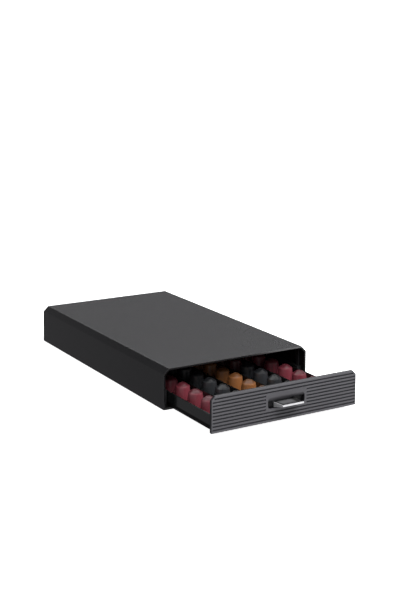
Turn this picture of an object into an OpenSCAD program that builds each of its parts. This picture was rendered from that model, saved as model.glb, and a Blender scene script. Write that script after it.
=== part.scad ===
// Coffee capsule drawer organizer: a flat case with a sliding drawer.
// Millimetres, +Z up, drawer pulled out towards -Y.
// The origin is the middle of the footprint, at the underside of the feet.

/* [Case] */
// Outer width of the case
case_w = 260; // [245:1:300]
// Outer depth of the case
case_d = 440; // [425:1:480]
// Height of the case above its feet
case_h = 62.5; // [59:0.5:76]
// Wall of the shell
case_wall = 2.8; // [2:0.1:3.4]
// Chamfer along the two long top edges
case_chamfer = 9; // [5:0.5:12]
// Thickness of the base plate
base_t = 3.4; // [2.8:0.1:4.2]
// Thickness of the rear panel
rear_t = 2.5; // [2:0.1:4]
// Gap between the rear panel and the shell
rear_gap = 0.2; // [0.1:0.05:0.5]
// Radius of a rubber foot
foot_r = 8; // [5:0.5:11]
// Thickness of a rubber foot
foot_t = 1.2; // [0.8:0.1:3]
// Distance of a foot's middle from the case's edges
foot_inset = 26; // [22:1:40]

/* [Guides] */
// Width of a guide, from the shell's wall to the tray's side
guide_w = 7.4; // [6.5:0.1:9]
// Height of a guide's rail above the base plate
guide_rail_h = 24; // [20:0.5:26]
// How far a guide starts behind the case's front
guide_setback = 9.2; // [6.5:0.1:14]
// How far the full-height post of a guide stands behind the guide's front
guide_post_back = 3.5; // [0:0.5:6]
// Depth of the post
guide_post_d = 6.5; // [5:0.5:10]
// Width of the post, from the shell's wall inwards
guide_post_w = 3.3; // [2.8:0.1:4]
// Gap between the post and the shell above it
guide_post_gap = 0.3; // [0.1:0.05:0.6]
// Skin of a guide around its pockets
guide_skin = 2; // [1.5:0.1:2.6]
// Thickness of the solid ribs between the pockets
guide_rib = 10; // [7:0.5:16]
// Number of pockets in a guide, an even number
guide_pockets = 4; // [2:2:8]

/* [Drawer] */
// How far the drawer is pulled out here
drawer_open = 133.5; // [0:0.5:280]
// Travel of the drawer between its two stops
drawer_travel = 300; // [200:1:330]
// Gap left at each stop
stop_gap = 0.2; // [0.1:0.05:0.5]
// Gap between the tray and each guide
tray_side_gap = 1.1; // [0.3:0.1:1.6]
// Gap between the runners and the base plate
glide_gap = 0.2; // [0.1:0.05:0.4]
// Height of the tray's side walls
tray_h = 19.9; // [14:0.1:22]
// Wall of the tray
tray_wall = 2; // [1.5:0.1:2.5]
// Floor of the tray
tray_floor = 1.6; // [1.2:0.1:2.4]
// Least depth of the space between the fascia and the first capsules
front_bay_min = 26; // [15:0.5:32]
// Height of the low rib that keeps the capsules from sliding forward
bay_rib_h = 4; // [2:0.5:10]
// Space behind the tray when the drawer is shut
rear_space = 15.5; // [4:0.5:22]
// How far the raised part of the tray's front wall ends inside the tray's sides
front_raise_in = 16.7; // [10:0.1:30]
// How far the raised part ends below the fascia's upper edge
front_raise_drop = 10.7; // [6:0.1:14]
// Thickness of a divider
divider_t = 2; // [1.2:0.1:3]
// Width of a runner strip under the tray
runner_w = 7; // [4:0.5:12]
// Height of a runner strip under the tray
runner_h = 1.8; // [1.2:0.1:2.6]
// Thickness of a runner strip's upright side
runner_t = 0.9; // [0.6:0.1:1]
// How far a runner strip reaches up the tray's side
runner_up = 4.6; // [2.5:0.1:6]
// Length of a stop ear
ear_l = 12; // [6:0.5:20]
// Height of a stop ear
ear_h = 8; // [5:0.5:10]
// Gap between a stop ear and the shell's wall
ear_wall_gap = 1.8; // [1:0.1:2]
// Gap between a stop ear and the rail below it
ear_gap = 0.8; // [0.4:0.1:1.5]

/* [Fascia] */
// Thickness of the fascia
fascia_t = 5; // [4.4:0.1:6]
// Gap between the fascia and each side wall
fascia_side_gap = 0.4; // [0.3:0.1:1.2]
// Gap between the fascia and the shell's top
fascia_top_gap = 2.8; // [1:0.1:3.4]
// Gap between the fascia and the base plate
fascia_base_gap = 0.5; // [0.3:0.1:1.5]
// Gap between the fascia's cut corners and the shell
fascia_corner_gap = 1.2; // [0.4:0.1:1.8]
// Number of grooves across the fascia
groove_n = 10; // [6:1:11]
// Height of a groove
groove_w = 2.5; // [1.5:0.1:2.8]
// Depth of a groove
groove_depth = 1.8; // [0.8:0.1:2.2]
// Distance of the first and last groove from the fascia's edges
groove_edge = 4.3; // [3:0.1:6]
// Plain margin at each end of the grooves
groove_margin = 1.4; // [1.2:0.1:4]
// Width of the plain pad around the pocket
pad_w = 71.8; // [70:0.2:90]
// Height of the plain pad above the pocket
pad_above = 14.6; // [10:0.1:15.6]
// Height of the plain pad below the pocket
pad_below = 2; // [1:0.1:6]

/* [Pocket and handle] */
// Width of the finger pocket
pocket_w = 64.6; // [56:0.2:66]
// Height of the finger pocket
pocket_h = 9.7; // [9.6:0.1:11.6]
// Height of the pocket's lower edge above the fascia's lower edge
pocket_up = 19; // [16:0.1:21]
// Depth of the finger pocket
pocket_depth = 6; // [5.5:0.1:9]
// Radius of the finger pocket's corners, and of the corners of its rolled upper edge
pocket_r = 5.2; // [3:0.1:5.6]
// Wall behind and around the pocket
pocket_wall = 2; // [1.6:0.1:2.6]
// Gap between the pocket's wall and the tray's window
pocket_gap = 0.4; // [0.2:0.1:0.8]
// Radius of the rolled upper edge of the pocket
brow_r = 7; // [5.4:0.1:7.6]
// Width of the handle
handle_w = 37.2; // [30:0.2:46]
// How far the handle's lip stands out of the fascia
handle_reach = 17.6; // [12:0.1:24]
// Distance of the handle's root below the pocket's upper edge
handle_drop = 2.1; // [1.4:0.1:2.2]
// Height of the handle's root
handle_root_h = 7.4; // [6.4:0.1:7.5]
// Thickness of the handle's root
handle_root_t = 2.2; // [1.8:0.1:3]
// Thickness of the handle's upper plate
handle_plate_t = 1.5; // [1.2:0.1:2]
// Thickness of the handle's side plates
handle_side_t = 1.5; // [1.2:0.1:3]
// Height of the handle's lip
handle_lip_h = 2.6; // [2.4:0.1:4]
// Thickness of the handle's lip
handle_lip_t = 2; // [1.4:0.1:3]
// Width of the rim around the dished top of the handle
handle_rim = 1.2; // [0.8:0.1:1.8]
// Depth of the dish in the handle's top
handle_dish = 0.8; // [0.3:0.1:1]
// How much the lip lies above the root
handle_rise = 1; // [0:0.1:2]

/* [Capsules] */
// Diameter of a capsule's rim
capsule_rim_d = 37; // [34:0.1:37.6]
// Gap between the rims in a column
capsule_gap = 0.4; // [0.2:0.1:1]
// Height of a capsule
capsule_h = 28; // [26:0.1:30.2]
// Thickness of a capsule's rim with its lid
lid_t = 1; // [0.6:0.1:1.4]
// Diameter of a cup at its rim
cup_base_d = 27.2; // [24:0.1:30]
// Diameter of a cup at its shoulder
cup_shoulder_d = 21.4; // [19:0.1:23]
// Distance of the shoulder below the top
cup_shoulder_drop = 4.7; // [4.5:0.1:8]
// Diameter of a cup at its crown, above the shoulder
cup_crown_d = 17; // [14:0.1:18]
// Distance of the crown below the top
cup_crown_drop = 2.7; // [1.5:0.1:3.5]
// Diameter of a cup's flat top
cup_top_d = 9.6; // [6:0.1:12]
// Wall of a cup
cup_wall = 0.5; // [0.4:0.05:0.8]
// Slate capsules in the fourth column, ahead of the burgundy ones
slate_rows = 4; // [1:1:7]

/* [Screws] */
// Radius of a screw's shank
screw_r = 1.2; // [1:0.05:1.5]
// Radius of a screw's head
screw_head_r = 2.6; // [2.2:0.05:2.8]
// Height of a screw's head
screw_head_h = 1.4; // [1:0.1:1.6]
// Gap around a screw
screw_gap = 0.1; // [0.05:0.01:0.15]
// How deep a screw goes into a guide
guide_bite = 8; // [5:0.5:9]
// How deep a screw goes into the fascia
fascia_bite = 2.2; // [1.8:0.1:2.4]
// How deep a screw goes into the handle
handle_bite = 1.7; // [1.2:0.1:1.75]
// Height of the lower rear screws above the base plate
rear_screw_low = 13; // [12:0.5:14]
// Height of the upper rear screws above the base plate
rear_screw_high = 20; // [17.5:0.5:20]
// Distance of the fascia screws from the ends of the raised front wall
fascia_screw_in = 14; // [6:0.5:30]
// Height of the lower fascia screws above the tray's underside
fascia_screw_low = 10; // [7:0.5:14]
// Distance of the upper fascia screws below the raised front wall's top
fascia_screw_drop = 6; // [4:0.5:12]
// Distance of the handle screws from the middle
handle_screw_x = 11; // [6:0.5:13]

/* [Resolution] */
// Facets around a full circle in a quick view
$fn = 48; // [24:4:96]

/* [Hidden] */
columns = 5;
cut = 1;
chamfer_step = 2 - sqrt(2);
inner_x = case_w / 2 - case_wall;
rail_x = inner_x - guide_w;
rear_y = case_d - rear_t;
guide_l = rear_y - guide_setback;
pocket_l = (guide_l - guide_rib * (guide_pockets + 1)) / guide_pockets;
rib_pitch = pocket_l + guide_rib;
rail_top = base_t + guide_rail_h;
post_y0 = guide_setback + guide_post_back;
post_y1 = post_y0 + guide_post_d;
fascia_inset = guide_setback - stop_gap - fascia_t;
fascia_w = 2 * (inner_x - fascia_side_gap);
fascia_z0 = base_t + fascia_base_gap;
fascia_z1 = case_h - case_wall - fascia_top_gap;
fascia_chamfer = case_chamfer - chamfer_step * case_wall - fascia_side_gap - fascia_top_gap
    + sqrt(2) * fascia_corner_gap;
groove_pitch = (fascia_z1 - fascia_z0 - 2 * groove_edge) / (groove_n - 1);
pocket_z0 = fascia_z0 + pocket_up;
pocket_z1 = pocket_z0 + pocket_h;
tray_w = 2 * (rail_x - tray_side_gap);
tray_z0 = base_t + glide_gap + runner_h;
tray_z1 = tray_z0 + tray_h;
floor_z = tray_z0 + tray_floor;
tray_end = rear_y - rear_space - fascia_inset;
tray_l = tray_end - fascia_t;
inner_w = tray_w - 2 * tray_wall;
row_pitch = capsule_rim_d + capsule_gap;
capsule_rows = floor((tray_l - 3 * tray_wall - front_bay_min) / row_pitch);
row_y0 = tray_end - tray_wall - capsule_rows * row_pitch;
column_w = (inner_w - (columns - 1) * divider_t) / columns;
column_pitch = column_w + divider_t;
ear_y = post_y1 + drawer_travel + stop_gap - fascia_inset;
ear_z0 = rail_top + ear_gap;
handle_z1 = pocket_z1 - handle_drop;
handle_z0 = handle_z1 - handle_root_h;
lip_z1 = handle_z1 + handle_rise;
handle_screw_z = (handle_z0 + handle_z1 - handle_plate_t) / 2;
front_wall_y = fascia_t + tray_wall;
raise_x = tray_w / 2 - front_raise_in;
raise_z1 = fascia_z1 - front_raise_drop;
case_y = (drawer_open + handle_reach - fascia_inset - case_d) / 2;
drawer_y = case_y + fascia_inset - drawer_open;
screw_crown_r = 0.8 * screw_head_r;

module in_case() {
    translate([0, case_y, foot_t])
        children();
}

module in_drawer() {
    translate([0, drawer_y, foot_t])
        children();
}

// A flat outline in X and Z, drawn out from y0 to y1
module along_y(y0, y1) {
    translate([0, y1, 0])
        rotate([90, 0, 0])
            linear_extrude(y1 - y0)
                children();
}

// A flat outline in Y and Z, drawn out from x0 to x1
module along_x(x0, x1) {
    translate([x0, 0, 0])
        rotate([90, 0, 90])
            linear_extrude(x1 - x0)
                children();
}

// Block between two corners
module block(low, high) {
    translate(low)
        cube(high - low);
}

// Outline of an upright panel with two chamfered top corners
module hood(half_w, z0, z1, chamfer) {
    polygon([[-half_w, z0], [half_w, z0], [half_w, z1 - chamfer], [half_w - chamfer, z1],
        [chamfer - half_w, z1], [-half_w, z1 - chamfer]]);
}

// Outline of the case, drawn in by a distance
module case_outline(inset, z0) {
    hood(case_w / 2 - inset, z0, case_h - inset, case_chamfer - chamfer_step * inset);
}

// Outline of the finger pocket below its rolled edge, grown by a distance
module pocket_outline(grow) {
    half_w = pocket_w / 2 + grow;
    r = pocket_r + grow;
    corner_z = pocket_z0 + pocket_r;
    translate([-half_w, corner_z])
        square([2 * half_w, pocket_z1 + grow - corner_z]);
    translate([r - half_w, corner_z - r])
        square([2 * (half_w - r), 2 * r]);
    for (s = [-1, 1])
        translate([s * (half_w - r), corner_z])
            circle(r);
}

// Outline of the rolled edge above the pocket, with rounded upper corners
module brow_outline() {
    half_w = pocket_w / 2;
    corner_z = pocket_z1 + brow_r - pocket_r;
    translate([-half_w, pocket_z1 - cut])
        square([2 * half_w, corner_z - pocket_z1 + cut]);
    translate([pocket_r - half_w, corner_z - pocket_r])
        square([2 * (half_w - pocket_r), 2 * pocket_r]);
    for (s = [-1, 1])
        translate([s * (half_w - pocket_r), corner_z])
            circle(pocket_r);
}

// Flush screw along +Z, its head's face at z = 0
module flush_screw(l) {
    rotate_extrude()
        polygon([[0, 0], [screw_head_r, 0], [screw_r, screw_head_h], [screw_r, l - screw_r], [0, l]]);
}

// Hole for a flush screw
module flush_hole(l) {
    rotate_extrude()
        polygon([[0, -cut], [screw_head_r + screw_gap, -cut], [screw_head_r + screw_gap, 0],
            [screw_r + screw_gap, screw_head_h], [screw_r + screw_gap, l + screw_gap],
            [0, l + screw_gap]]);
}

// Screw along +Z with a raised head, its seat at z = 0
module raised_screw(l) {
    rotate_extrude()
        polygon([[0, -screw_head_h], [screw_crown_r, -screw_head_h],
            [screw_head_r, -screw_head_h / 2], [screw_head_r, 0], [screw_r, 0], [screw_r, l], [0, l]]);
}

// Hole for the shank of a raised screw
module shank_hole(l) {
    translate([0, 0, -cut])
        cylinder(r = screw_r + screw_gap, h = l + cut + screw_gap);
}

module at_base_screws() {
    for (s = [-1, 1])
        for (i = [0 : guide_pockets / 2 : guide_pockets])
            translate([s * (rail_x + guide_w / 2), guide_setback + guide_rib / 2 + i * rib_pitch, 0])
                children();
}

module at_rear_screws() {
    for (s = [-1, 1])
        for (z = [rear_screw_low, rear_screw_high])
            translate([s * (rail_x + guide_w / 2), case_d, base_t + z])
                rotate([90, 0, 0])
                    children();
}

module at_fascia_screws() {
    for (s = [-1, 1])
        for (z = [tray_z0 + fascia_screw_low, raise_z1 - fascia_screw_drop])
            translate([s * (raise_x - fascia_screw_in), front_wall_y, z])
                rotate([90, 0, 0])
                    children();
}

module at_handle_screws() {
    for (s = [-1, 1])
        translate([s * handle_screw_x, pocket_depth + pocket_wall, handle_screw_z])
            rotate([90, 0, 0])
                children();
}

module case_shell() {
    color([0.30, 0.30, 0.31])
        in_case()
            along_y(0, case_d)
                difference() {
                    case_outline(0, 0);
                    case_outline(case_wall, -cut);
                }
}

module rear_panel() {
    color([0.26, 0.26, 0.27])
        in_case()
            difference() {
                along_y(rear_y, case_d)
                    case_outline(case_wall + rear_gap, 0);
                at_rear_screws()
                    flush_hole(rear_t + guide_bite);
            }
}

module base_plate() {
    color([0.20, 0.20, 0.21])
        in_case()
            difference() {
                block([-inner_x, 0, 0], [inner_x, rear_y, base_t]);
                at_base_screws()
                    flush_hole(base_t + guide_bite);
            }
}

// One guide on the +X side: a pocketed rail with a full-height post near its front
module guide() {
    in_case()
        difference() {
            union() {
                block([rail_x, guide_setback, base_t], [inner_x, rear_y, rail_top]);
                intersection() {
                    block([inner_x - guide_post_w, post_y0, base_t], [inner_x, post_y1, case_h]);
                    along_y(0, case_d)
                        case_outline(case_wall + guide_post_gap, 0);
                }
            }
            for (i = [0 : guide_pockets - 1])
                translate([0, guide_setback + guide_rib + i * rib_pitch, 0])
                    block([rail_x + guide_skin, 0, base_t + guide_skin],
                        [inner_x + cut, pocket_l, rail_top - guide_skin]);
            at_base_screws()
                flush_hole(base_t + guide_bite);
            at_rear_screws()
                flush_hole(rear_t + guide_bite);
        }
}

module guide_right() {
    color([0.33, 0.33, 0.34])
        guide();
}

module guide_left() {
    color([0.33, 0.33, 0.34])
        mirror([1, 0, 0])
            guide();
}

module rubber_feet() {
    color([0.10, 0.10, 0.10])
        in_case()
            for (sx = [-1, 1])
                for (y = [foot_inset, case_d - foot_inset])
                    translate([sx * (case_w / 2 - foot_inset), y, -foot_t])
                        cylinder(r = foot_r, h = foot_t);
}

module base_screws() {
    color([0.62, 0.63, 0.65])
        in_case()
            at_base_screws()
                translate([0, 0, screw_gap])
                    flush_screw(base_t + guide_bite - screw_gap);
}

module rear_screws() {
    color([0.62, 0.63, 0.65])
        in_case()
            at_rear_screws()
                translate([0, 0, screw_gap])
                    flush_screw(rear_t + guide_bite - screw_gap);
}

// Stop ear on the +X side wall
module stop_ear() {
    block([tray_w / 2 - tray_wall, ear_y, tray_z1], [tray_w / 2, ear_y + ear_l, ear_z0 + ear_h]);
    block([tray_w / 2 - tray_wall, ear_y, ear_z0], [inner_x - ear_wall_gap, ear_y + ear_l, ear_z0 + ear_h]);
}

// Step in the tray's +X side that takes a runner's upright side
module runner_step() {
    block([tray_w / 2 - runner_t, fascia_t - cut, tray_z0 - cut],
        [tray_w / 2 + cut, tray_end + cut, tray_z0 + runner_up]);
}

module tray() {
    side_x = tray_w / 2;
    color([0.12, 0.12, 0.13])
        in_drawer()
            difference() {
                union() {
                    difference() {
                        block([-side_x, fascia_t, tray_z0], [side_x, tray_end, tray_z1]);
                        block([-side_x + tray_wall, front_wall_y, floor_z],
                            [side_x - tray_wall, tray_end - tray_wall, tray_z1 + cut]);
                        runner_step();
                        mirror([1, 0, 0])
                            runner_step();
                    }
                    block([-side_x + tray_wall, row_y0 - tray_wall, floor_z],
                        [side_x - tray_wall, row_y0, floor_z + bay_rib_h]);
                    block([-raise_x, fascia_t, tray_z0], [raise_x, front_wall_y, raise_z1]);
                    stop_ear();
                    mirror([1, 0, 0])
                        stop_ear();
                }
                along_y(fascia_t - cut, front_wall_y + cut)
                    pocket_outline(pocket_wall + pocket_gap);
                at_fascia_screws()
                    shank_hole(tray_wall + cut);
            }
}

// Divider after column n, counted from the left
module divider(n) {
    x = (n - columns / 2) * column_pitch;
    color([0.12, 0.12, 0.13])
        in_drawer()
            block([x - divider_t / 2, row_y0, floor_z], [x + divider_t / 2, tray_end - tray_wall, tray_z1]);
}

module divider_1() {
    divider(1);
}

module divider_2() {
    divider(2);
}

module divider_3() {
    divider(3);
}

module divider_4() {
    divider(4);
}

// Runner strip on the +X side, wrapped around the tray's lower edge
module runner() {
    side_x = tray_w / 2;
    color([0.06, 0.06, 0.06])
        in_drawer() {
            block([side_x - runner_w, fascia_t, tray_z0 - runner_h], [side_x, tray_end, tray_z0]);
            block([side_x - runner_t, fascia_t, tray_z0], [side_x, tray_end, tray_z0 + runner_up]);
        }
}

module runner_right() {
    runner();
}

module runner_left() {
    mirror([1, 0, 0])
        runner();
}

// Grooves of the fascia, broken by the pad around the pocket
module grooves() {
    for (i = [0 : groove_n - 1]) {
        z = fascia_z1 - groove_edge - i * groove_pitch;
        corner = max(0, z + groove_w / 2 - fascia_z1 + fascia_chamfer);
        end_x = fascia_w / 2 - groove_margin - corner;
        broken = z > pocket_z0 - pad_below && z < pocket_z1 + pad_above;
        if (broken) {
            block([-end_x, -cut, z - groove_w / 2], [-pad_w / 2, groove_depth, z + groove_w / 2]);
            block([pad_w / 2, -cut, z - groove_w / 2], [end_x, groove_depth, z + groove_w / 2]);
        } else {
            block([-end_x, -cut, z - groove_w / 2], [end_x, groove_depth, z + groove_w / 2]);
        }
    }
}

// Material taken off the pocket's upper edge so that it rolls inwards
module brow() {
    depth = min(brow_r, pocket_depth);
    intersection() {
        along_x(-pocket_w / 2, pocket_w / 2)
            difference() {
                translate([-cut, pocket_z1 - cut])
                    square([depth + cut, brow_r + cut]);
                translate([brow_r, pocket_z1 + brow_r])
                    circle(brow_r);
            }
        along_y(-cut, depth)
            brow_outline();
    }
}

module fascia() {
    color([0.40, 0.39, 0.41])
        in_drawer()
            difference() {
                union() {
                    along_y(0, fascia_t)
                        hood(fascia_w / 2, fascia_z0, fascia_z1, fascia_chamfer);
                    along_y(0, pocket_depth + pocket_wall)
                        pocket_outline(pocket_wall);
                }
                grooves();
                along_y(-cut, pocket_depth)
                    pocket_outline(0);
                brow();
                at_fascia_screws()
                    shank_hole(tray_wall + fascia_bite);
                at_handle_screws()
                    shank_hole(pocket_wall + cut);
            }
}

module fascia_screws() {
    color([0.62, 0.63, 0.65])
        in_drawer()
            at_fascia_screws()
                raised_screw(tray_wall + fascia_bite);
}

// Dish in the handle's sloping top, inside its rim
module dish() {
    half_w = handle_w / 2 - handle_rim;
    slope = handle_rise / (pocket_depth + handle_reach);
    back_y = pocket_depth - handle_root_t;
    front_y = handle_lip_t - handle_reach;
    back_z = handle_z1 + slope * handle_root_t;
    front_z = lip_z1 - slope * handle_lip_t;
    along_x(-half_w, half_w)
        polygon([[back_y, back_z + cut], [front_y, front_z + cut],
            [front_y, front_z - handle_dish], [back_y, back_z - handle_dish]]);
}

module handle() {
    half_w = handle_w / 2;
    color([0.75, 0.76, 0.78])
        in_drawer()
            difference() {
                union() {
                    block([-half_w, pocket_depth - handle_root_t, handle_z0],
                        [half_w, pocket_depth, handle_z1]);
                    along_x(-half_w, half_w)
                        polygon([[pocket_depth, handle_z1], [-handle_reach, lip_z1],
                            [-handle_reach, lip_z1 - handle_plate_t],
                            [pocket_depth, handle_z1 - handle_plate_t]]);
                    block([-half_w, -handle_reach, lip_z1 - handle_lip_h],
                        [half_w, -handle_reach + handle_lip_t, lip_z1 - handle_plate_t / 2]);
                    for (x = [-half_w, half_w - handle_side_t])
                        along_x(x, x + handle_side_t)
                            polygon([[pocket_depth, handle_z1], [-handle_reach, lip_z1],
                                [-handle_reach, lip_z1 - handle_lip_h], [pocket_depth, handle_z0]]);
                }
                dish();
                at_handle_screws()
                    shank_hole(pocket_wall + handle_bite);
            }
}

module handle_screws() {
    color([0.62, 0.63, 0.65])
        in_drawer()
            at_handle_screws()
                raised_screw(pocket_wall + handle_bite);
}

// Places for the capsules of a column, the first row nearest the fascia
module at_rows(column, first, last) {
    in_drawer()
        for (row = [first : last])
            translate([(column - (columns - 1) / 2) * column_pitch, row_y0 + (row + 0.5) * row_pitch, floor_z])
                children();
}

module cup() {
    base_r = cup_base_d / 2;
    shoulder_r = cup_shoulder_d / 2;
    shoulder_z = capsule_h - cup_shoulder_drop;
    crown_r = cup_crown_d / 2;
    crown_z = capsule_h - cup_crown_drop;
    top_r = cup_top_d / 2;
    rotate_extrude()
        polygon([[base_r - cup_wall, lid_t], [base_r, lid_t], [shoulder_r, shoulder_z],
            [crown_r, crown_z], [top_r, capsule_h], [0, capsule_h], [0, capsule_h - cup_wall],
            [top_r - cup_wall / 2, capsule_h - cup_wall], [crown_r - cup_wall / 2, crown_z - cup_wall],
            [shoulder_r - cup_wall, shoulder_z - cup_wall / 2]]);
}

module lid() {
    cylinder(d = capsule_rim_d, h = lid_t);
}

module capsule_cups_rose_left() {
    color([0.62, 0.20, 0.26])
        at_rows(0, 0, capsule_rows - 1)
            cup();
}

module capsule_cups_slate_left() {
    color([0.24, 0.26, 0.28])
        at_rows(1, 0, capsule_rows - 1)
            cup();
}

module capsule_cups_gold() {
    color([0.72, 0.47, 0.24])
        at_rows(2, 0, capsule_rows - 1)
            cup();
}

module capsule_cups_slate_right() {
    color([0.24, 0.26, 0.28])
        at_rows(3, 0, slate_rows - 1)
            cup();
}

module capsule_cups_burgundy() {
    color([0.34, 0.08, 0.10])
        at_rows(3, slate_rows, capsule_rows - 1)
            cup();
}

module capsule_cups_rose_right() {
    color([0.62, 0.20, 0.26])
        at_rows(4, 0, capsule_rows - 1)
            cup();
}

module capsule_lids_rose_left() {
    color([0.66, 0.30, 0.34])
        at_rows(0, 0, capsule_rows - 1)
            lid();
}

module capsule_lids_slate_left() {
    color([0.30, 0.32, 0.34])
        at_rows(1, 0, capsule_rows - 1)
            lid();
}

module capsule_lids_gold() {
    color([0.74, 0.53, 0.32])
        at_rows(2, 0, capsule_rows - 1)
            lid();
}

module capsule_lids_slate_right() {
    color([0.30, 0.32, 0.34])
        at_rows(3, 0, slate_rows - 1)
            lid();
}

module capsule_lids_burgundy() {
    color([0.40, 0.14, 0.16])
        at_rows(3, slate_rows, capsule_rows - 1)
            lid();
}

module capsule_lids_rose_right() {
    color([0.66, 0.30, 0.34])
        at_rows(4, 0, capsule_rows - 1)
            lid();
}

case_shell();
rear_panel();
base_plate();
guide_left();
guide_right();
rubber_feet();
base_screws();
rear_screws();
tray();
divider_1();
divider_2();
divider_3();
divider_4();
runner_left();
runner_right();
fascia();
fascia_screws();
handle();
handle_screws();
capsule_cups_rose_left();
capsule_cups_slate_left();
capsule_cups_gold();
capsule_cups_slate_right();
capsule_cups_burgundy();
capsule_cups_rose_right();
capsule_lids_rose_left();
capsule_lids_slate_left();
capsule_lids_gold();
capsule_lids_slate_right();
capsule_lids_burgundy();
capsule_lids_rose_right();
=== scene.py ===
import math

import bmesh
import bpy
from mathutils import Matrix, Vector


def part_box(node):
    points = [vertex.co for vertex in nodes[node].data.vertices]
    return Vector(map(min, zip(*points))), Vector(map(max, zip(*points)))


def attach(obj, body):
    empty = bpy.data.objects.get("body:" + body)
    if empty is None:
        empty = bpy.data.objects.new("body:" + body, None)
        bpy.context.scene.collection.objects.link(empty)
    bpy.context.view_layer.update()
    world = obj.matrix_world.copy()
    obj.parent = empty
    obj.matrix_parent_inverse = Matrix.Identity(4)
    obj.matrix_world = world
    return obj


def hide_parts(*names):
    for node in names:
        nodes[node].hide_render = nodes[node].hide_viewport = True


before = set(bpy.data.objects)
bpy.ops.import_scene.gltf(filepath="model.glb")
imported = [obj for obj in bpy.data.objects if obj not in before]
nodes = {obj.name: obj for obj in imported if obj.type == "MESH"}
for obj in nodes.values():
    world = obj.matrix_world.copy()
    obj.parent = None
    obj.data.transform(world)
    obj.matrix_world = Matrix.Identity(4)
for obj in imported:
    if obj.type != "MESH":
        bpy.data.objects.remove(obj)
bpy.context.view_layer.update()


scene = bpy.context.scene
scene.view_settings.view_transform = "Standard"
MM = 0.001


# Camera, fitted to the photograph's edges

CASE_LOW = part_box("case_shell")[0]
CAMERA_TURN = (-31.3102, 5.7726, 0.4329)  # azimuth, elevation and roll in degrees
CAMERA_X, CAMERA_AHEAD, CAMERA_RISE = -0.95555, 1.45647, 0.57124


def look():
    azimuth, elevation, roll = (math.radians(a) for a in CAMERA_TURN)
    back = Vector((
        math.sin(azimuth) * math.cos(elevation),
        -math.cos(azimuth) * math.cos(elevation),
        math.sin(elevation),
    ))
    right = Vector((0, 0, 1)).cross(back).normalized()
    up = back.cross(right)
    right, up = (
        math.cos(roll) * right + math.sin(roll) * up,
        -math.sin(roll) * right + math.cos(roll) * up,
    )
    data = bpy.data.cameras.new("photo_camera")
    data.lens = 69.6417
    data.sensor_width = 36.0
    data.shift_y = -0.26575
    data.clip_end = 200.0
    camera = bpy.data.objects.new("photo_camera", data)
    place = Vector((CAMERA_X, CASE_LOW.y - CAMERA_AHEAD, CASE_LOW.z + CAMERA_RISE))
    turn = Matrix((right, up, back)).transposed().to_4x4()
    camera.matrix_world = Matrix.Translation(place) @ turn
    scene.collection.objects.link(camera)
    scene.camera = camera


look()


# Materials

def material(name):
    m = bpy.data.materials.new(name)
    m.use_nodes = True
    tree = m.node_tree
    return m, tree, tree.nodes["Principled BSDF"]


def node(tree, kind, **values):
    n = tree.nodes.new(kind)
    for key, value in values.items():
        if key in n.inputs:
            n.inputs[key].default_value = value
        else:
            setattr(n, key, value)
    return n


def mixed(tree, factor, a, b):
    """Colour between two colours, each a plain colour or a socket."""
    mix = node(tree, "ShaderNodeMix", data_type="RGBA")
    tree.links.new(factor, mix.inputs[0])
    for socket, value in ((mix.inputs[6], a), (mix.inputs[7], b)):
        if isinstance(value, tuple):
            socket.default_value = (*value, 1)
        else:
            tree.links.new(value, socket)
    return mix.outputs[2]


def ramp(tree, value, low, high, to_low=0.0, to_high=1.0):
    """Value mapped from one range to another, clamped."""
    r = node(tree, "ShaderNodeMapRange", clamp=True)
    limits = {"From Min": low, "From Max": high, "To Min": to_low, "To Max": to_high}
    for socket, number in limits.items():
        r.inputs[socket].default_value = number
    tree.links.new(value, r.inputs["Value"])
    return r.outputs["Result"]


def product(tree, first, *others):
    """Masks multiplied together."""
    for other in others:
        times = node(tree, "ShaderNodeMath", operation="MULTIPLY")
        tree.links.new(first, times.inputs[0])
        tree.links.new(other, times.inputs[1])
        first = times.outputs[0]
    return first


def band(tree, value, low, high, soft):
    """Mask that is set between two values, fading just inside them."""
    return product(
        tree,
        ramp(tree, value, low, low + soft),
        ramp(tree, value, high, high - soft),
    )


def parts_of(tree, output):
    """X, Y and Z of a place on the object or of the surface's true normal."""
    if output == "normal":
        source = node(tree, "ShaderNodeNewGeometry").outputs["True Normal"]
    else:
        source = node(tree, "ShaderNodeTexCoord").outputs["Object"]
    split = node(tree, "ShaderNodeSeparateXYZ")
    tree.links.new(source, split.inputs[0])
    return split.outputs


def tinted(m, mask, colour):
    """Mix a colour into a material's base colour where the mask is set."""
    tree = m.node_tree
    base = tree.nodes["Principled BSDF"].inputs["Base Color"]
    tree.links.new(mixed(tree, mask, base.links[0].from_socket, colour), base)


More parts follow.
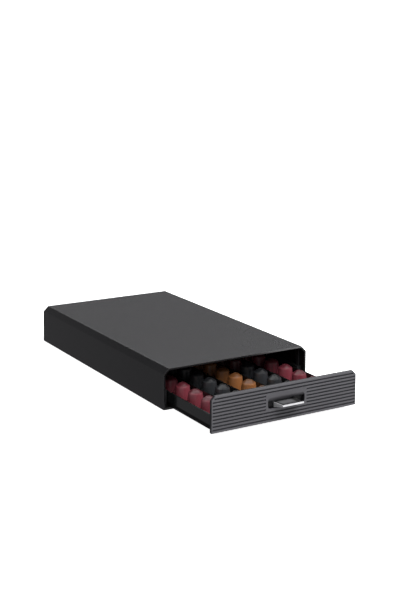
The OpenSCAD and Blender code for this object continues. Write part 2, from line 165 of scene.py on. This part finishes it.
def surface(
    name, dark, light, rough, spread=0.06, grain=1400.0, bump=0.05,
    specular=0.5, metallic=0.0, stretch=(1, 1, 1),
):
    """Fine grain in colour, gloss and height, with a broad drift of tone."""
    m, tree, shader = material(name)
    link = tree.links.new
    place = node(tree, "ShaderNodeTexCoord")
    turn = node(tree, "ShaderNodeMapping", Scale=stretch)
    link(place.outputs["Object"], turn.inputs["Vector"])
    fine = node(tree, "ShaderNodeTexNoise", Scale=grain, Detail=3.0, Roughness=0.6)
    broad = node(tree, "ShaderNodeTexNoise", Scale=9.0, Detail=4.0, Roughness=0.55)
    link(turn.outputs["Vector"], fine.inputs["Vector"])
    link(place.outputs["Object"], broad.inputs["Vector"])
    colour = mixed(tree, ramp(tree, broad.outputs["Fac"], 0.3, 0.7), dark, light)
    link(colour, shader.inputs["Base Color"])
    gloss = ramp(tree, fine.outputs["Fac"], 0.25, 0.75, rough - spread, rough + spread)
    link(gloss, shader.inputs["Roughness"])
    relief = node(tree, "ShaderNodeBump", Strength=bump, Distance=0.0002)
    link(fine.outputs["Fac"], relief.inputs["Height"])
    link(relief.outputs["Normal"], shader.inputs["Normal"])
    shader.inputs["Specular IOR Level"].default_value = specular
    shader.inputs["Metallic"].default_value = metallic
    return m


FASCIA_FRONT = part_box("fascia")[0].y
FASCIA_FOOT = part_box("fascia")[0].z
FASCIA_PLAIN = (0.092, 0.090, 0.098)
PAD_HALF_WIDTH = 36.0 * MM
PAD_LOW, PAD_HIGH = FASCIA_FOOT + 17.0 * MM, FASCIA_FOOT + 43.3 * MM
BROW_LOW, BROW_HIGH = FASCIA_FOOT + 28.0 * MM, FASCIA_FOOT + 36.0 * MM
PLATE_ROOT = FASCIA_FOOT + 26.0 * MM


def fascia_plastic():
    """Grey moulding, with painted shade down in its grooves and pocket, on its rolled brow and
    on faces that turn left, and painted light on the pocket's back above the handle's plate.
    """
    m = surface(
        "fascia_plastic", (0.100, 0.098, 0.107), (0.111, 0.109, 0.119), 0.45, specular=0.25)
    tree = m.node_tree
    place, facing = parts_of(tree, "place"), parts_of(tree, "normal")
    shade = (0.003, 0.003, 0.004)
    pad = product(
        tree,
        band(tree, place["X"], -PAD_HALF_WIDTH, PAD_HALF_WIDTH, 0.5 * MM),
        band(tree, place["Z"], PAD_LOW, PAD_HIGH, 0.5 * MM),
    )
    tinted(m, pad, FASCIA_PLAIN)
    # Painted shade in the grooves and the pocket, deepening with depth behind the front
    depths = [FASCIA_FRONT + depth * MM for depth in (0.3, 1.8, 3.0, 4.0, 4.2)]
    tinted(m, ramp(tree, place["Y"], depths[0], depths[1], 0.0, 0.6), shade)
    tinted(m, ramp(tree, place["Y"], depths[1], depths[4], 0.0, 0.94), shade)
    # Painted light: the pocket's back is made paler above the handle's plate
    painted_light_behind_plate = product(
        tree,
        pad,
        ramp(tree, place["X"], -21.0 * MM, -19.0 * MM),
        ramp(tree, place["X"], 14.0 * MM, 8.0 * MM),
        ramp(tree, place["Z"], PLATE_ROOT, PLATE_ROOT + 0.5 * MM),
        ramp(tree, place["Y"], depths[2], depths[3]),
    )
    tinted(m, painted_light_behind_plate, (0.07, 0.07, 0.074))
    # Painted shade on the rolled brow above the pocket: where it turns down it is set back to
    # the plain tone, apart from its right end, which keeps the pocket's painted shade, and a
    # light painted shade marks where it starts to turn down
    brow = product(tree, pad, band(tree, place["Z"], BROW_LOW, BROW_HIGH, 0.5 * MM))
    left_of_end = ramp(tree, place["X"], 24.0 * MM, 10.0 * MM, 0.15, 1.0)
    turned_down = ramp(tree, facing["Z"], -0.1, -0.3)
    tinted(m, product(tree, brow, left_of_end, turned_down), (0.093, 0.091, 0.099))
    tinted(m, product(tree, brow, ramp(tree, facing["Z"], -0.004, -0.1, 0.0, 0.3)), shade)
    # Painted shade on faces that turn left, away from the key light
    shaded_left_faces = ramp(tree, facing["X"], -0.3, -0.8, 0.0, 0.6)
    tinted(m, shaded_left_faces, (0.010, 0.010, 0.012))
    turned_back = ramp(tree, facing["Y"], 0.5, 0.8)
    tinted(m, turned_back, FASCIA_PLAIN)
    return m


HANDLE_LOW, HANDLE_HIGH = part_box("handle")
HANDLE_RIM = HANDLE_LOW.x + 1.2 * MM
HANDLE_LIP = HANDLE_LOW.y + 2.0 * MM


def handle_metal():
    """Satin metal with a dull plate, and painted shade on faces that turn left, on the foot of
    the lip's front and along the plate's borders.
    """
    m = surface(
        "handle_metal", (0.70, 0.70, 0.715), (0.78, 0.78, 0.80), 0.32,
        grain=60.0, metallic=0.35, stretch=(1, 40, 40))
    tree = m.node_tree
    place, facing = parts_of(tree, "place"), parts_of(tree, "normal")
    # Painted shade on faces that turn left
    shaded_left_faces = ramp(tree, facing["X"], -0.6, -0.9)
    tinted(m, shaded_left_faces, (0.56, 0.56, 0.57))
    # Painted shade on the foot of the lip's front
    lip_foot_shade = product(
        tree,
        ramp(tree, place["Z"], HANDLE_HIGH.z - 1.9 * MM, HANDLE_HIGH.z - 2.3 * MM, 0.0, 0.9),
        ramp(tree, place["Y"], HANDLE_LOW.y + 0.8 * MM, HANDLE_LOW.y + 0.6 * MM),
    )
    tinted(m, lip_foot_shade, (0.10, 0.10, 0.10))
    plate = product(
        tree,
        ramp(tree, place["Z"], HANDLE_HIGH.z - 2.2 * MM, HANDLE_HIGH.z - 2.0 * MM),
        ramp(tree, facing["X"], 0.6, 0.3),
        ramp(tree, place["Y"], HANDLE_LIP, HANDLE_LIP + 0.2 * MM),
        ramp(tree, place["X"], HANDLE_RIM, HANDLE_RIM + 0.2 * MM),
    )
    tinted(m, plate, (0.20, 0.20, 0.208))
    # Painted shade along the plate's borders: behind the lip, inside the left rim and at its
    # right end
    shade_at_lip = ramp(tree, place["Y"], HANDLE_LIP + 13.0 * MM, HANDLE_LIP + 4.0 * MM, 0.0, 0.85)
    tinted(m, product(tree, plate, shade_at_lip), (0.03, 0.03, 0.03))
    shade_at_rim = ramp(tree, place["X"], HANDLE_RIM + 6.0 * MM, HANDLE_RIM + 4.0 * MM)
    tinted(m, product(tree, plate, shade_at_rim), (0.02, 0.02, 0.02))
    shade_at_right = ramp(tree, place["X"], HANDLE_HIGH.x - 8.5 * MM, HANDLE_HIGH.x - 4.5 * MM)
    tinted(m, product(tree, plate, shade_at_right), (0.02, 0.02, 0.02))
    return m


CASE_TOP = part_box("case_shell")[1].z


def case_plastic():
    """Black satin plastic, with a painted highlight along its upper front edge, strongest to
    the right.
    """
    m = surface(
        "case_plastic", (0.0040, 0.0040, 0.0046), (0.0052, 0.0052, 0.0060), 0.26, spread=0.04)
    tree = m.node_tree
    place = parts_of(tree, "place")
    # Painted highlight along the upper front edge, strongest to the right
    highlit_front_edge = product(
        tree,
        ramp(tree, place["Y"], CASE_LOW.y + 0.8 * MM, CASE_LOW.y + 0.6 * MM),
        ramp(tree, place["Z"], CASE_TOP - 3.2 * MM, CASE_TOP - 3.0 * MM),
        ramp(tree, place["X"], 22.0 * MM, 80.0 * MM, 0.10, 1.0),
    )
    tinted(m, highlit_front_edge, (0.11, 0.11, 0.112))
    return m


case_mat = case_plastic()
base_mat = surface("base_plastic", (0.006, 0.006, 0.006), (0.008, 0.008, 0.008), 0.5)
guide_mat = surface("guide_plastic", (0.010, 0.010, 0.011), (0.014, 0.014, 0.015), 0.45)
tray_mat = surface(
    "tray_plastic", (0.006, 0.007, 0.007), (0.009, 0.010, 0.010), 0.18, spread=0.03, bump=0.02)
runner_mat = surface(
    "runner_plastic", (0.002, 0.002, 0.002), (0.003, 0.003, 0.003), 0.6, specular=0.15)
fascia_mat = fascia_plastic()
rubber_mat = surface(
    "foot_rubber", (0.010, 0.010, 0.010), (0.018, 0.018, 0.018), 0.8, grain=500.0, bump=0.2)
screw_mat = surface(
    "screw_steel", (0.42, 0.42, 0.43), (0.55, 0.55, 0.56), 0.3, metallic=1.0)
handle_mat = handle_metal()

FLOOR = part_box("capsule_lids_gold")[0].z


def lacquer(name, dark, light):
    """Satin lacquer, with painted shade on the capsule's crown."""
    m = surface(
        name, dark, light, 0.3, spread=0.03, grain=900.0, bump=0.015, specular=1.0)
    height = parts_of(m.node_tree, "place")["Z"]
    # Painted shade on the crown
    crown = ramp(m.node_tree, height, FLOOR + 22.5 * MM, FLOOR + 25.5 * MM)
    tinted(m, crown, tuple(0.4 * v for v in dark))
    return m


COLOURS = {
    "rose": ((0.20, 0.036, 0.050), (0.23, 0.044, 0.060)),
    "slate": ((0.028, 0.030, 0.033), (0.034, 0.036, 0.040)),
    "gold": ((0.27, 0.105, 0.034), (0.31, 0.125, 0.042)),
    "burgundy": ((0.075, 0.010, 0.014), (0.095, 0.014, 0.018)),
}
cup_mats = {tone: lacquer(f"capsule_{tone}", *pair) for tone, pair in COLOURS.items()}
lid_mats = {tone: lacquer(f"lid_{tone}", *pair) for tone, pair in COLOURS.items()}

MATERIALS = {
    "case_shell": case_mat, "rear_panel": case_mat, "base_plate": base_mat,
    "guide_left": guide_mat, "guide_right": guide_mat, "tray": tray_mat,
    "divider_1": tray_mat, "divider_2": tray_mat,
    "divider_3": tray_mat, "divider_4": tray_mat,
    "runner_left": runner_mat, "runner_right": runner_mat,
    "fascia": fascia_mat, "handle": handle_mat,
}
for name, m in MATERIALS.items():
    data = nodes[name].data
    data.materials.clear()
    data.materials.append(m)


# Turned pieces: capsules, screws and feet, with profiles of (radius, height) in mm

SHARP = math.radians(40)  # least turn between two faces that shows as an edge


def rounded(points, radii, steps=5):
    """Outline with each inner corner replaced by an arc."""
    out = [Vector(points[0])]
    for before, corner, after, radius in zip(points, points[1:], points[2:], radii):
        before, corner, after = Vector(before), Vector(corner), Vector(after)
        a, b = before - corner, after - corner
        half = a.angle(b) / 2
        if radius == 0 or half > math.radians(89):
            out.append(corner)
            continue
        reach = min(radius / math.tan(half), 0.45 * a.length, 0.45 * b.length)
        start, end = corner + a.normalized() * reach, corner + b.normalized() * reach
        for i in range(steps + 1):
            t = i / steps
            out.append((1 - t) ** 2 * start + 2 * t * (1 - t) * corner + t * t * end)
    out.append(Vector(points[-1]))
    return out


def lathe(b, profile, place, turns=48):
    """Add a turned surface, with a single vertex where the profile meets the axis."""
    rings = []
    for point in profile:
        r, z = point[0] * MM, point[1] * MM
        if r < 1e-7:
            rings.append([b.verts.new(place @ Vector((0, 0, z)))])
        else:
            rings.append([
                b.verts.new(place @ Vector((r * math.cos(a), r * math.sin(a), z)))
                for a in (2 * math.pi * i / turns for i in range(turns))
            ])
    for low, high in zip(rings, rings[1:]):
        for i in range(turns):
            j = (i + 1) % turns
            if len(low) == 1 and len(high) == 1:
                continue
            if len(low) == 1:
                b.faces.new((low[0], high[j], high[i]))
            elif len(high) == 1:
                b.faces.new((low[i], low[j], high[0]))
            else:
                b.faces.new((low[i], low[j], high[j], high[i]))
    return rings


def piece(name, b, m, body, stands_for):
    """Finish a mesh and let it stand for a CAD node."""
    bmesh.ops.recalc_face_normals(b, faces=b.faces)
    for face in b.faces:
        face.smooth = True
    for edge in b.edges:
        edge.smooth = edge.calc_face_angle(0.0) < SHARP
    mesh = bpy.data.meshes.new(name)
    b.to_mesh(mesh)
    b.free()
    mesh.materials.append(m)
    o = bpy.data.objects.new(name, mesh)
    scene.collection.objects.link(o)
    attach(o, body)
    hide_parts(stands_for)


CUP = rounded(
    (
        (0.0, 27.3), (3.0, 27.3), (3.6, 28.0), (4.5, 28.0), (8.7, 25.1),
        (10.7, 23.3), (13.5, 2.2), (14.6, 1.0), (0.0, 1.0),
    ),
    (0.4, 0.4, 1.0, 4.0, 1.4, 1.2, 0.0),
)
LID = rounded(
    (
        (0.0, 0.25), (16.6, 0.25), (17.0, 0.0), (18.5, 0.0),
        (18.5, 1.2), (17.0, 1.2), (16.7, 0.9), (0.0, 0.9),
    ),
    (0.2, 0.2, 0.55, 0.55, 0.2, 0.2),
)
RIM, PITCH = 37.0 * MM, 37.4 * MM


def capsules(place):
    """A column of capsules, as many as its CAD node's box has room for."""
    low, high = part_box(f"capsule_lids_{place}")
    count = round((high.y - low.y - RIM) / PITCH) + 1
    tone = place.split("_")[0]
    for kind, profile, m in (("cups", CUP, cup_mats[tone]), ("lids", LID, lid_mats[tone])):
        b = bmesh.new()
        for i in range(count):
            spot = Vector(((low.x + high.x) / 2, low.y + RIM / 2 + i * PITCH, low.z))
            lathe(b, profile, Matrix.Translation(spot))
        piece(f"turned_{kind}_{place}", b, m, "drawer", f"capsule_{kind}_{place}")


for place in ("rose_left", "slate_left", "gold", "slate_right", "burgundy", "rose_right"):
    capsules(place)

SCREW_HEAD, SCREW_SHANK, SCREW_RISE = 2.6, 1.2, 1.4
THREAD_PITCH, THREAD_DEPTH = 0.6, 0.22
RECESS_ARM, RECESS_HALF_WIDTH, RECESS_DEPTH, RECESS_TAPER = 1.5, 0.36, 0.9, 0.55
SCREW_TURN = 0.7  # from one screw to the next, in radians


def thread(start, end):
    """Profile of a threaded stretch."""
    count = int((end - start) / THREAD_PITCH)
    return [
        (SCREW_SHANK - THREAD_DEPTH * (i % 2), start + i * THREAD_PITCH / 2)
        for i in range(2 * count)
    ]


def screw(b, place, length, raised, turn):
    """Screw along +Z with a cross recess in its head."""
    if raised:
        head = [
            (1.8, -SCREW_RISE), (2.3, -1.1), (SCREW_HEAD, -0.6),
            (SCREW_HEAD, -0.1), (2.5, 0.0), (SCREW_SHANK, 0.0),
        ]
        face, start, end = -SCREW_RISE, 0.5, length - 0.3
        tip = [(0.9, length), (0.0, length)]
    else:
        head = [(2.5, 0.0), (SCREW_HEAD, 0.12), (SCREW_SHANK, SCREW_RISE)]
        face, start, end = 0.0, 2.0, length - SCREW_SHANK
        tip = [(0.0, length)]
    rim = lathe(b, head + thread(start, end) + tip, place, turns=24)[0]
    arm, half = RECESS_ARM, RECESS_HALF_WIDTH
    cross = ((arm, -half), (arm, half), (half, half), (half, arm), (-half, arm), (-half, half))
    cross += tuple((-x, -y) for x, y in cross)
    frame_of_cross = place @ Matrix.Rotation(turn, 4, "Z")
    mouth, floor = (
        [b.verts.new(frame_of_cross @ Vector((scale * x, scale * y, z))) for x, y in cross]
        for scale, z in ((MM, face * MM), (RECESS_TAPER * MM, (face + RECESS_DEPTH) * MM))
    )
    count = len(cross)
    edges = [b.edges.get((rim[i], rim[(i + 1) % len(rim)])) for i in range(len(rim))]
    edges += [b.edges.new((mouth[i], mouth[(i + 1) % count])) for i in range(count)]
    bmesh.ops.triangle_fill(b, use_beauty=True, edges=edges)
    for i in range(count):
        j = (i + 1) % count
        b.faces.new((mouth[i], mouth[j], floor[j], floor[i]))
    b.faces.new(floor)


def screws(node_name, body, columns, rows, along_z, raised):
    """A grid of screws that fills its CAD node's box."""
    low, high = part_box(node_name)
    reach = SCREW_HEAD * MM
    first, last = low + Vector((reach,) * 3), high - Vector((reach,) * 3)
    rise = SCREW_RISE if raised else 0.0
    lying = Matrix.Rotation(math.radians(90), 4, "X")
    b = bmesh.new()
    for i in range(columns):
        for j in range(rows):
            x = first.x + (last.x - first.x) * i / (columns - 1)
            share = j / (rows - 1) if rows > 1 else 0.5
            if along_z:
                y = first.y + (last.y - first.y) * share
                place = Matrix.Translation((x, y, low.z))
                length = (high.z - low.z) / MM
            else:
                z = first.z + (last.z - first.z) * share
                place = Matrix.Translation((x, high.y - rise * MM, z)) @ lying
                length = (high.y - low.y) / MM - rise
            screw(b, place, length, raised, SCREW_TURN * (i + 2 * j))
    piece(f"cross_{node_name}", b, screw_mat, body, node_name)


screws("base_screws", "case", 2, 3, True, False)
screws("rear_screws", "case", 2, 2, False, False)
screws("fascia_screws", "drawer", 2, 2, False, True)
screws("handle_screws", "drawer", 2, 1, False, True)

FOOT_RADIUS = 8.0
FOOT = rounded(
    (
        (0.0, 0.3), (5.2, 0.3), (5.6, 0.0), (7.3, 0.0),
        (FOOT_RADIUS, 0.5), (FOOT_RADIUS, 1.2), (0.0, 1.2),
    ),
    (0.2, 0.2, 0.4, 0.4, 0.1),
)


def feet():
    """A foot in each corner of the CAD node's box."""
    low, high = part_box("rubber_feet")
    reach = FOOT_RADIUS * MM
    b = bmesh.new()
    for x in (low.x + reach, high.x - reach):
        for y in (low.y + reach, high.y - reach):
            lathe(b, FOOT, Matrix.Translation((x, y, low.z)))
    piece("turned_feet", b, rubber_mat, "case", "rubber_feet")


feet()


# Edges of the moulded pieces, broken by a small round, with a little wear, and on some a
# painted highlight

def wear_and_highlight(m, colour, share, only=None):
    """Copy of a material for its edges, paler in patches: wear where hands and drawers rub,
    and a painted highlight where the colour given is much paler than the material.
    """
    edge_mat = m.copy()
    edge_mat.name = f"{m.name}_edge"
    tree = edge_mat.node_tree
    place = node(tree, "ShaderNodeTexCoord")
    patches = node(tree, "ShaderNodeTexNoise", Scale=260.0, Detail=3.0, Roughness=0.6)
    tree.links.new(place.outputs["Object"], patches.inputs["Vector"])
    mask = ramp(tree, patches.outputs["Fac"], 0.35, 0.65, 0.3 * share, share)
    if only:
        mask = product(tree, mask, only(tree))
    tinted(edge_mat, mask, colour)
    return edge_mat


def on_crests(tree):
    """Mask of the fascia's front, away from the bottom of its grooves."""
    y = parts_of(tree, "place")["Y"]
    return ramp(tree, y, FASCIA_FRONT + 0.9 * MM, FASCIA_FRONT + 0.4 * MM)


def at_front(tree):
    """Mask of the case's front edges."""
    y = parts_of(tree, "place")["Y"]
    return ramp(tree, y, CASE_LOW.y + 1.0 * MM, CASE_LOW.y + 0.8 * MM, 0.2, 1.0)


EDGE_MATERIALS = {
    # The case's front edges, the fascia's crests and the handle's edges carry a painted
    # highlight as well as wear; the other edges only show wear
    case_mat: wear_and_highlight(case_mat, (0.035, 0.035, 0.036), 0.9, at_front),
    base_mat: wear_and_highlight(base_mat, (0.02, 0.02, 0.02), 0.6),
    guide_mat: wear_and_highlight(guide_mat, (0.03, 0.03, 0.032), 0.6),
    tray_mat: wear_and_highlight(tray_mat, (0.022, 0.023, 0.024), 0.6),
    runner_mat: wear_and_highlight(runner_mat, (0.012, 0.012, 0.012), 0.7),
    fascia_mat: wear_and_highlight(fascia_mat, (0.22, 0.216, 0.232), 0.8, on_crests),
    handle_mat: wear_and_highlight(handle_mat, (0.95, 0.95, 0.96), 0.25),
}
EDGE_WIDTHS = {
    "case_shell": 0.5, "rear_panel": 0.4, "base_plate": 0.3,
    "guide_left": 0.3, "guide_right": 0.3, "tray": 0.4,
    "divider_1": 0.5, "divider_2": 0.5, "divider_3": 0.5, "divider_4": 0.5,
    "runner_left": 0.2, "runner_right": 0.2,
    "fascia": 0.35, "handle": 0.4,
}
for name, width in EDGE_WIDTHS.items():
    o = nodes[name]
    weld = o.modifiers.new("weld", "WELD")
    weld.merge_threshold = 1e-6
    flat = o.modifiers.new("flat", "DECIMATE")
    flat.decimate_type = "DISSOLVE"
    flat.angle_limit = math.radians(0.5)
    edge = o.modifiers.new("edge", "BEVEL")
    edge.width = width * MM
    edge.segments = 3
    edge.limit_method = "ANGLE"
    edge.angle_limit = math.radians(25)
    edge.use_clamp_overlap = True
    o.data.materials.append(EDGE_MATERIALS[MATERIALS[name]])
    edge.material = 1
    normal = o.modifiers.new("normal", "WEIGHTED_NORMAL")
    normal.keep_sharp = True


# Floor, backdrop and light

STAGE_SIZE = 40.0
ROOM_TONES = (  # height on the world's sphere, from 0 at the bottom to 1 at the top, and tone
    (0.0, 0.21), (0.49, 0.21), (0.54, 0.275), (0.655, 0.30),
    (0.70, 0.15), (0.77, 0.15), (0.82, 0.05),
)
ROOM_FILL = (0.42, 0.42, 0.43)


def backdrop(name, build):
    """White surface that only the camera sees, as behind a cut-out product picture."""
    mesh = bpy.data.meshes.new(name)
    b = bmesh.new()
    build(b)
    b.to_mesh(mesh)
    b.free()
    o = bpy.data.objects.new(name, mesh)
    scene.collection.objects.link(o)
    m, _, shader = material(name)
    shader.inputs["Base Color"].default_value = (0.9, 0.9, 0.9, 1)
    shader.inputs["Emission Color"].default_value = (1, 1, 1, 1)
    shader.inputs["Emission Strength"].default_value = 1.0
    mesh.materials.append(m)
    for kind in ("diffuse", "glossy", "transmission", "shadow"):
        setattr(o, f"visible_{kind}", False)


def room():
    """Grey surroundings, palest in a band above the horizon, with an even diffuse fill."""
    world = bpy.data.worlds.new("studio")
    world.use_nodes = True
    tree = world.node_tree
    place = node(tree, "ShaderNodeTexCoord")
    split = node(tree, "ShaderNodeSeparateXYZ")
    tree.links.new(place.outputs["Generated"], split.inputs[0])
    height = ramp(tree, split.outputs["Z"], -1.0, 1.0)
    tone = node(tree, "ShaderNodeValToRGB")
    tree.links.new(height, tone.inputs[0])
    stops = tone.color_ramp.elements
    while len(stops) < len(ROOM_TONES):
        stops.new(0.5)
    for stop, (at, value) in zip(stops, ROOM_TONES):
        stop.position = at
        stop.color = (value, 0.99 * value, 1.03 * value, 1)
    ray = node(tree, "ShaderNodeLightPath")
    colour = mixed(tree, ray.outputs["Is Diffuse Ray"], tone.outputs["Color"], ROOM_FILL)
    tree.links.new(colour, tree.nodes["Background"].inputs["Color"])
    scene.world = world


def area(name, place, target, size, power, unseen=()):
    """Soft light that the camera does not see, nor the kinds of ray named as unseen."""
    data = bpy.data.lights.new(name, "AREA")
    data.shape = "RECTANGLE"
    data.size, data.size_y = size
    data.energy = power
    light = bpy.data.objects.new(name, data)
    light.location = place
    aim = Vector(target) - Vector(place)
    light.rotation_euler = aim.to_track_quat("-Z", "Y").to_euler()
    for kind in ("camera", *unseen):
        setattr(light, f"visible_{kind}", False)
    scene.collection.objects.link(light)


backdrop("floor", lambda b: bmesh.ops.create_grid(
    b, x_segments=1, y_segments=1, size=STAGE_SIZE))
backdrop("backdrop", lambda b: bmesh.ops.create_uvsphere(
    b, u_segments=48, v_segments=24, radius=STAGE_SIZE))
room()
area("key", (0.38, -0.9, 1.65), (0, -0.2, 0.03), (2.4, 1.0), 52, ("glossy",))
area("overhead", (0, 0.375, 1.5), (0, 0.375, 0), (3.0, 1.45), 11, ("diffuse",))
area("sheen", (1.55, 3.65, 2.83), (0, -0.2, 0.03), (4.0, 1.3), 36, ("diffuse",))
area("card", (0.1, -0.9, -0.06), (0.1, -0.9, 1.0), (1.4, 1.0), 5.0)
